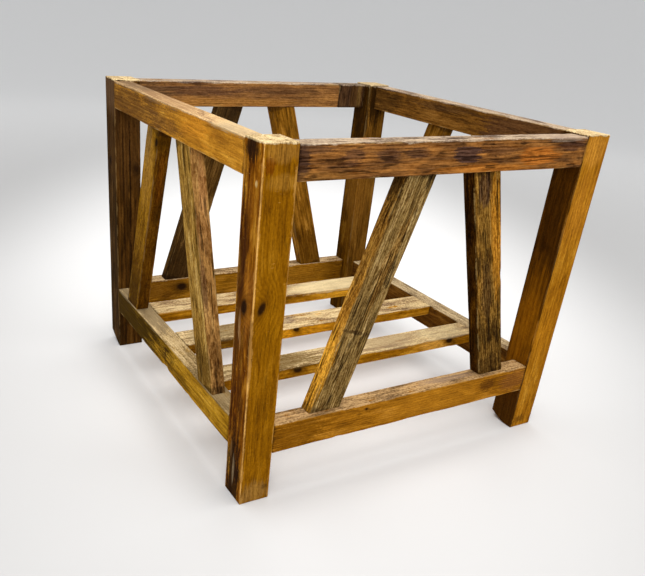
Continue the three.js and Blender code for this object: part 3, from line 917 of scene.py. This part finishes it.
weatheredBar = dict(
    plainWood, tones=tints((58, 43, 24), (106, 82, 43), (137, 109, 60), (178, 150, 98)),
    streak=0.9, cloud=1.1, fibre=2.2, fibreSize=(14.0, 3.0), speck=2.2, grit=1.2, checks=0.8, checkWide=0.06,
    rings=0.8, ripple=7.0, ringWidth=5.5, heart=(85.0, 12.0), lean=(0.05, -0.015),
    roughness=0.7, bump=1.0, pale=tint(206, 170, 104), pores=0.9, flecks=0.75,
)
umberBar = dict(
    plainWood, tones=tints((44, 28, 10), (92, 60, 12), (122, 82, 22), (160, 116, 48)),
    streak=1.0, fibre=1.2, wear=0.12,
)
frontLeftBar = {
    "node": "front_left_brace", "seed": 71, "faces": "front", "family": weatheredBar,
    # the left side faces up to the overhead lamp and is painted lighter: partly its own golden colour,
    # partly painted light; its front-left corner is partly wear, partly a painted highlight
    "look": {"wornAndHighlightCorners": {(1, 1): 0.8}, "sides": {"y+": {
        "tones": tints((110, 70, 24), (150, 102, 34), (178, 126, 44), (210, 160, 72)), "gain": 1.2,
    }}},
    "shape": {"groove": 0.5, "fine": 0.2},
    "marks": [
        stainAndPaintedLight((-160, 31, 0), (110, 8, 20), (230, 168, 54), 0.8),
        stainAndPaintedLight((120, 31, 0), (140, 8, 22), (124, 90, 38), 0.7),
        # painted shade at the top of the left side, under the front top rail
        stainAndPaintedLight((205, 31, 0), (40, 8, 22), (50, 32, 12), 0.85),
        stainAndPaintedLight((-66, 4, 14), (4, 34, 7), (60, 40, 20), 0.7),
        stainAndPaintedLight((70, -6, 14), (90, 12, 7), (150, 106, 44), 0.45),
    ],
}
frontRightBar = {
    "node": "front_right_brace", "seed": 73, "faces": "front", "family": weatheredBar,
    "look": {
        "tones": tints((56, 38, 17), (100, 71, 28), (134, 97, 38), (180, 134, 62)),
        # the left side faces down, away from the lamps, and is painted dark as shade
        "streak": 1.4, "sides": {"y+": {
            "tones": tints((26, 14, 3), (44, 25, 4), (62, 36, 6), (96, 60, 10)),
        }},
    },
    "shape": {"groove": 0.4, "fine": 0.15, "chips": 1.6},
    "marks": [
        stainAndPaintedLight((90, -20, 14), (130, 15, 8), (184, 124, 36), 0.85),
        stainAndPaintedLight((190, 8, 14), (34, 16, 8), (82, 58, 42), 0.7),
        stainAndPaintedLight((-30, 6, 14), (80, 16, 8), (66, 46, 26), 0.7),
        stainAndPaintedLight((-150, 0, 14), (90, 40, 12), (84, 60, 24), 0.6),
        stainAndPaintedLight((-205, 0, 14), (34, 34, 12), (78, 54, 22), 0.7),
    ],
}
leftBackBar = {
    "node": "left_back_brace", "seed": 79, "faces": "left", "family": umberBar,
    "look": {
        "tones": tints((74, 49, 4), (120, 81, 8), (150, 106, 20), (186, 141, 50)), "speck": 1.8, "grit": 1.0,
        "sides": {"y-": {"tones": tints((38, 22, 5), (66, 40, 6), (88, 54, 8), (122, 81, 16))}},
    },
    "knots": [{"at": (206, -24), "radius": 7.5}],
    "marks": [
        stainAndPaintedLight((-190, 0, 14), (130, 40, 12), (68, 42, 1), 0.9),
        stainAndPaintedLight((-60, 0, 14), (80, 40, 12), (102, 66, 6), 0.65),
        stainAndPaintedLight((190, 16, 14), (50, 16, 10), (116, 94, 62), 0.5),
        stainAndPaintedLight((130, 0, 14), (90, 30, 10), (172, 128, 56), 0.5, soft=0.3),
        stainAndPaintedLight((120, -29, -2), (60, 7, 8), (112, 62, 10), 0.5),
    ],
}
leftFrontBar = {
    "node": "left_front_brace", "seed": 83, "faces": "left", "family": weatheredBar,
    "look": {
        "tones": tints((96, 66, 24), (144, 107, 44), (172, 133, 60), (210, 176, 106)),
        "fibre": 1.4, "speck": 1.5, "grit": 0.6, "sides": {"y-": {
            "tones": tints((94, 62, 30), (128, 91, 46), (156, 114, 60), (188, 148, 88)), "gain": 0.8,
        }},
    },
    "marks": [
        # a dark streak of painted shadow on the side face
        stainAndPaintedLight((-36, -31, 10), (52, 7, 8), (86, 58, 36), 0.75),
        stainAndPaintedLight((70, -31, 0), (50, 6, 12), (170, 124, 72), 0.5),
        stainAndPaintedLight((150, -31, -4), (46, 5, 8), (178, 126, 76), 0.5),
        stainAndPaintedLight((-190, 0, 14), (60, 40, 12), (100, 72, 26), 0.75),
        stainAndPaintedLight((-180, -31, -2), (70, 6, 14), (104, 70, 32), 0.7),
    ],
}
rightFrontBar = {"node": "right_front_brace", "seed": 89, "faces": "right", "family": umberBar}
rightBackBar = {"node": "right_back_brace", "seed": 97, "faces": "right", "family": umberBar}
backRightBar = {
    "node": "back_right_brace", "seed": 101, "faces": "back", "family": umberBar,
    "look": {"tones": tints((50, 31, 8), (104, 68, 14), (138, 93, 24), (176, 128, 50))},
    "marks": [stainAndPaintedLight((-190, 0, -14), (80, 50, 12), (88, 55, 9), 0.7)],
}
backLeftBar = {
    "node": "back_left_brace", "seed": 103, "faces": "back", "family": umberBar,
    "look": {"tones": tints((34, 22, 8), (64, 44, 17), (88, 62, 26), (132, 98, 50)), "speck": 1.2},
    "marks": [
        stainAndPaintedLight((-180, 0, -14), (110, 50, 12), (54, 37, 16), 0.8),
        stainAndPaintedLight((200, 0, -14), (60, 50, 12), (44, 32, 18), 0.7),
    ],
}

for bar in (
    frontLeftBar, frontRightBar, leftBackBar, leftFrontBar,
    rightFrontBar, rightBackBar, backRightBar, backLeftBar,
):
    bar["shape"] = dict({"bury": 0.9, "endRound": 0.8}, **bar.get("shape", {}))
    placeTimber(bar, barBlank(bar["node"], bar["faces"]), bar["family"])
print("bars done")


def slatBlank(node):
    low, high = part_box(node)
    centre, size = (low + high) / 2, high - low
    return {
        "centre": centre, "size": (size.x, size.y, size.z), "top": "depth",
        "grain": alongX, "across": alongY, "outward": up,
    }


bleachedSlat = dict(
    plainWood, tones=tints((84, 48, 6), (136, 88, 10), (172, 116, 18), (216, 160, 50)),
    topTones=tints((112, 88, 66), (166, 138, 96), (204, 180, 132)), topPale=1.0, streak=0.9,
    fibre=0.7, grit=0.6,
)
frontSlat = {
    "node": "floor_slat_front", "seed": 107,
    "marks": [
        stainAndPaintedLight((-200, 0, 12), (110, 40, 8), (100, 77, 36), 0.75, over=True),
        stainAndPaintedLight((240, 0, 12), (70, 40, 8), (184, 166, 126), 0.5, over=True),
        stainAndPaintedLight((100, 0, 12), (90, 40, 8), (150, 128, 96), 0.65, over=True),
        stainAndPaintedLight((80, -30, 0), (70, 8, 16), (140, 90, 8), 0.7),
        stainAndPaintedLight((205, -30, 0), (46, 8, 16), (226, 168, 70), 0.75),
    ],
    "knots": [
        {"at": (-159, 5), "radius": 9.0, "through": "width"},
        {"at": (250, 4), "radius": 8.0, "through": "width"},
    ],
}
middleSlat = {
    "node": "floor_slat_middle", "seed": 109,
    "marks": [
        # painted shadow over the left end of the upper face
        stainAndPaintedLight((-230, 0, 12), (100, 50, 8), (108, 88, 54), 0.65, over=True),
        stainAndPaintedLight((-60, -34, 0), (110, 8, 16), (222, 152, 28), 0.8),
        # painted shadow on the left end of the front face
        stainAndPaintedLight((-260, -34, 0), (90, 8, 16), (88, 56, 14), 0.7),
        stainAndPaintedLight((-70, 8, 12), (26, 16, 8), (110, 92, 80), 0.5, over=True),
    ],
    "knots": [{"at": (-64, 7), "radius": 7.0, "through": "width"}],
}
backSlat = {
    "node": "floor_slat_back", "seed": 113,
    "marks": [
        stainAndPaintedLight((170, -33, 0), (90, 8, 16), (226, 164, 44), 0.6),
        stainAndPaintedLight((160, 0, 12), (130, 44, 8), (226, 206, 160), 0.6, over=True),
    ],
}
for slat in (frontSlat, middleSlat, backSlat):
    placeTimber(slat, slatBlank(slat["node"]), bleachedSlat)

endBlock = {
    "node": "back_top_rail_end_block", "seed": 127,
    "look": {
        "tones": tints((38, 25, 17), (60, 41, 26), (74, 51, 31), (92, 67, 40)),
        "fibre": 0.8, "streak": 0.8, "checks": 0.4,
    },
    "marks": [
        # a thin dark line of painted shade in the gap against the back top rail
        stainAndPaintedLight((0, -40, -20), (60, 3, 8), (34, 22, 16), 0.9),
        stainAndPaintedLight((0, 8, -20), (60, 9, 8), (74, 50, 22), 0.7),
        stainAndPaintedLight((0, 24, -20), (60, 7, 8), (112, 84, 40), 0.6),
        stainAndPaintedLight((0, 37, -20), (60, 6, 8), (50, 32, 16), 0.85),
    ],
}
blockLow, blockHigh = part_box(endBlock["node"])
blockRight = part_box("back_right_leg")[0].x
blockMiddle, blockLength = span(blockLow.x, blockRight)
blockCentre = (blockLow + blockHigh) / 2
blockCentre.x = blockMiddle
placeTimber(endBlock, {
    "centre": blockCentre, "size": (blockHigh.z - blockLow.z, blockLength, blockHigh.y - blockLow.y),
    "top": "length", "grain": up, "across": alongX, "outward": alongY,
}, smokedRail)
print("slats and end block done")


dowelBlank = {"size": (0.04, 0.01, 0.01)}
dowelLook = dict(
    plainWood, tones=tints((150, 112, 66), (178, 140, 92), (198, 162, 112), (216, 184, 138)),
    wear=0.0, grime=0.0,
)
dowelWood = woodFinish("bareDowel.wood", dowelLook, dowelBlank, 131)
for node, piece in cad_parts.items():
    if node.endswith("_dowel"):
        piece.data.materials.clear()
        piece.data.materials.append(dowelWood)


stage = {
    "flat": 5.0,                   # m from the middle to where the floor turns up
    "rise": 7.0,                   # m, size of that curve
    "paintedLightAt": (0.60, 1.10),        # m, middle of the painted pool of light
    "paintedLightTurn": -28.7,             # degrees
    "paintedLightSize": (0.80, 1.55),      # m, across and away
    "paintedLightFade": (0.4, 1.7),        # shares of that size where it ends
    "paintedShadeFade": (1.2, 4.5),         # m, where the painted shade round the frame gives way to the pale far floor
    # the floor paint: a painted pool of light, painted shade round the frame, and a pale far floor
    "paintedLightTone": (0.90, 0.90, 0.90),
    "paintedShadeTone": (0.44, 0.44, 0.44),
    "farPaint": (0.90, 0.90, 0.90),
    "worldColour": (0.97, 0.98, 0.99),
    "worldStrength": 0.6,
}
# one seamless sheet: flat in the middle and curving up all round
turns, curveSteps = 96, 24
profile = [(reach, 0.0) for reach in (0.0, 1.0, 2.5, stage["flat"])]
for step in range(1, curveSteps + 1):
    angle = step / curveSteps * math.pi / 2
    profile.append((stage["flat"] + stage["rise"] * math.sin(angle), stage["rise"] * (1 - math.cos(angle))))
corners, sheets = [(0.0, 0.0, 0.0)], []
for reach, height in profile[1:]:
    for turn in range(turns):
        angle = turn / turns * 2 * math.pi
        corners.append((reach * math.cos(angle), reach * math.sin(angle), height))
for turn in range(turns):
    after = (turn + 1) % turns
    sheets.append((0, 1 + turn, 1 + after))
    for ring in range(len(profile) - 2):
        inner, outer = 1 + ring * turns, 1 + (ring + 1) * turns
        sheets.append((inner + turn, outer + turn, outer + after, inner + after))
floor = addSmoothMesh("studioFloor", corners, sheets)
# the floor's paint holds a painted pool of light behind the frame and painted shade round it
floorFinish = Finish("studioFloor.paintedLightAndShade")
floorPlace = floorFinish.node("ShaderNodeTexCoord", output=3)
paintedLightInputs = {
    "Vector": floorPlace, "Location": (*stage["paintedLightAt"], 0.0),
    "Rotation": (0.0, 0.0, math.radians(stage["paintedLightTurn"])), "Scale": (*stage["paintedLightSize"], 1.0),
}
inPaintedLight = floorFinish.node("ShaderNodeMapping", {"vector_type": "TEXTURE"}, paintedLightInputs)
fromPaintedLight = floorFinish.vector("LENGTH", inPaintedLight, output=1)
fromMiddle = floorFinish.vector("LENGTH", floorPlace, output=1)
paintedShadeAndFarTone = floorFinish.mixed(fromMiddle.rise(*stage["paintedShadeFade"]), stage["paintedShadeTone"], stage["farPaint"])
paintedFloorTone = floorFinish.mixed(fromPaintedLight.rise(*stage["paintedLightFade"]), stage["paintedLightTone"], paintedShadeAndFarTone)
floorShader = floorFinish.node("ShaderNodeBsdfPrincipled", inputs={
    "Base Color": paintedFloorTone, "Roughness": 0.9, "Specular IOR Level": 0.1,
})
floorFinish.node("ShaderNodeOutputMaterial", inputs={"Surface": floorShader})
floor.data.materials.append(floorFinish.material)

world = bpy.data.worlds.new("studio")
bpy.context.scene.world = world
world.use_nodes = True
background = world.node_tree.nodes["Background"]
background.inputs["Color"].default_value = (*stage["worldColour"], 1.0)
background.inputs["Strength"].default_value = stage["worldStrength"]

lamps = [
    {"name": "overhead", "at": (0.1, -0.2, 2.7), "size": 2.6, "watts": 90.0, "colour": (1.0, 0.98, 0.96)},
    {"name": "frontKey", "at": (-1.9, -2.9, 2.1), "size": 1.8, "watts": 66.0, "colour": (1.0, 0.97, 0.94)},
]
aim = Vector((0, 0, 0.3))
for lamp in lamps:
    data = bpy.data.lights.new(lamp["name"], "AREA")
    data.size = lamp["size"]
    data.energy = lamp["watts"]
    data.color = lamp["colour"]
    light = addObject(lamp["name"], data)
    light.location = lamp["at"]
    light.rotation_euler = (aim - Vector(lamp["at"])).to_track_quat("-Z", "Y").to_euler()

view = {
    "at": (-0.8603, -1.2574, 0.8196),
    "right": (0.87483, -0.47846, 0.0758),
    "down": (-0.15814, -0.42997, -0.88889),
    "sensor": 36.0,
    "lens": 39.18,
    "shift": (0.0808, 0.1044),
}
right = Vector(view["right"]).normalized()
down = Vector(view["down"])
down = (down - right * down.dot(right)).normalized()
cameraData = bpy.data.cameras.new("camera")
cameraData.sensor_width = view["sensor"]
cameraData.lens = view["lens"]
cameraData.shift_x, cameraData.shift_y = view["shift"]
cameraData.clip_start = 0.01
camera = addObject("camera", cameraData)
facing = right.cross(down)
camera.matrix_world = Matrix.Translation(view["at"]) @ Matrix((right, -down, -facing)).transposed().to_4x4()
bpy.context.scene.camera = camera
bpy.context.scene.view_settings.view_transform = "Standard"
print("stage done")
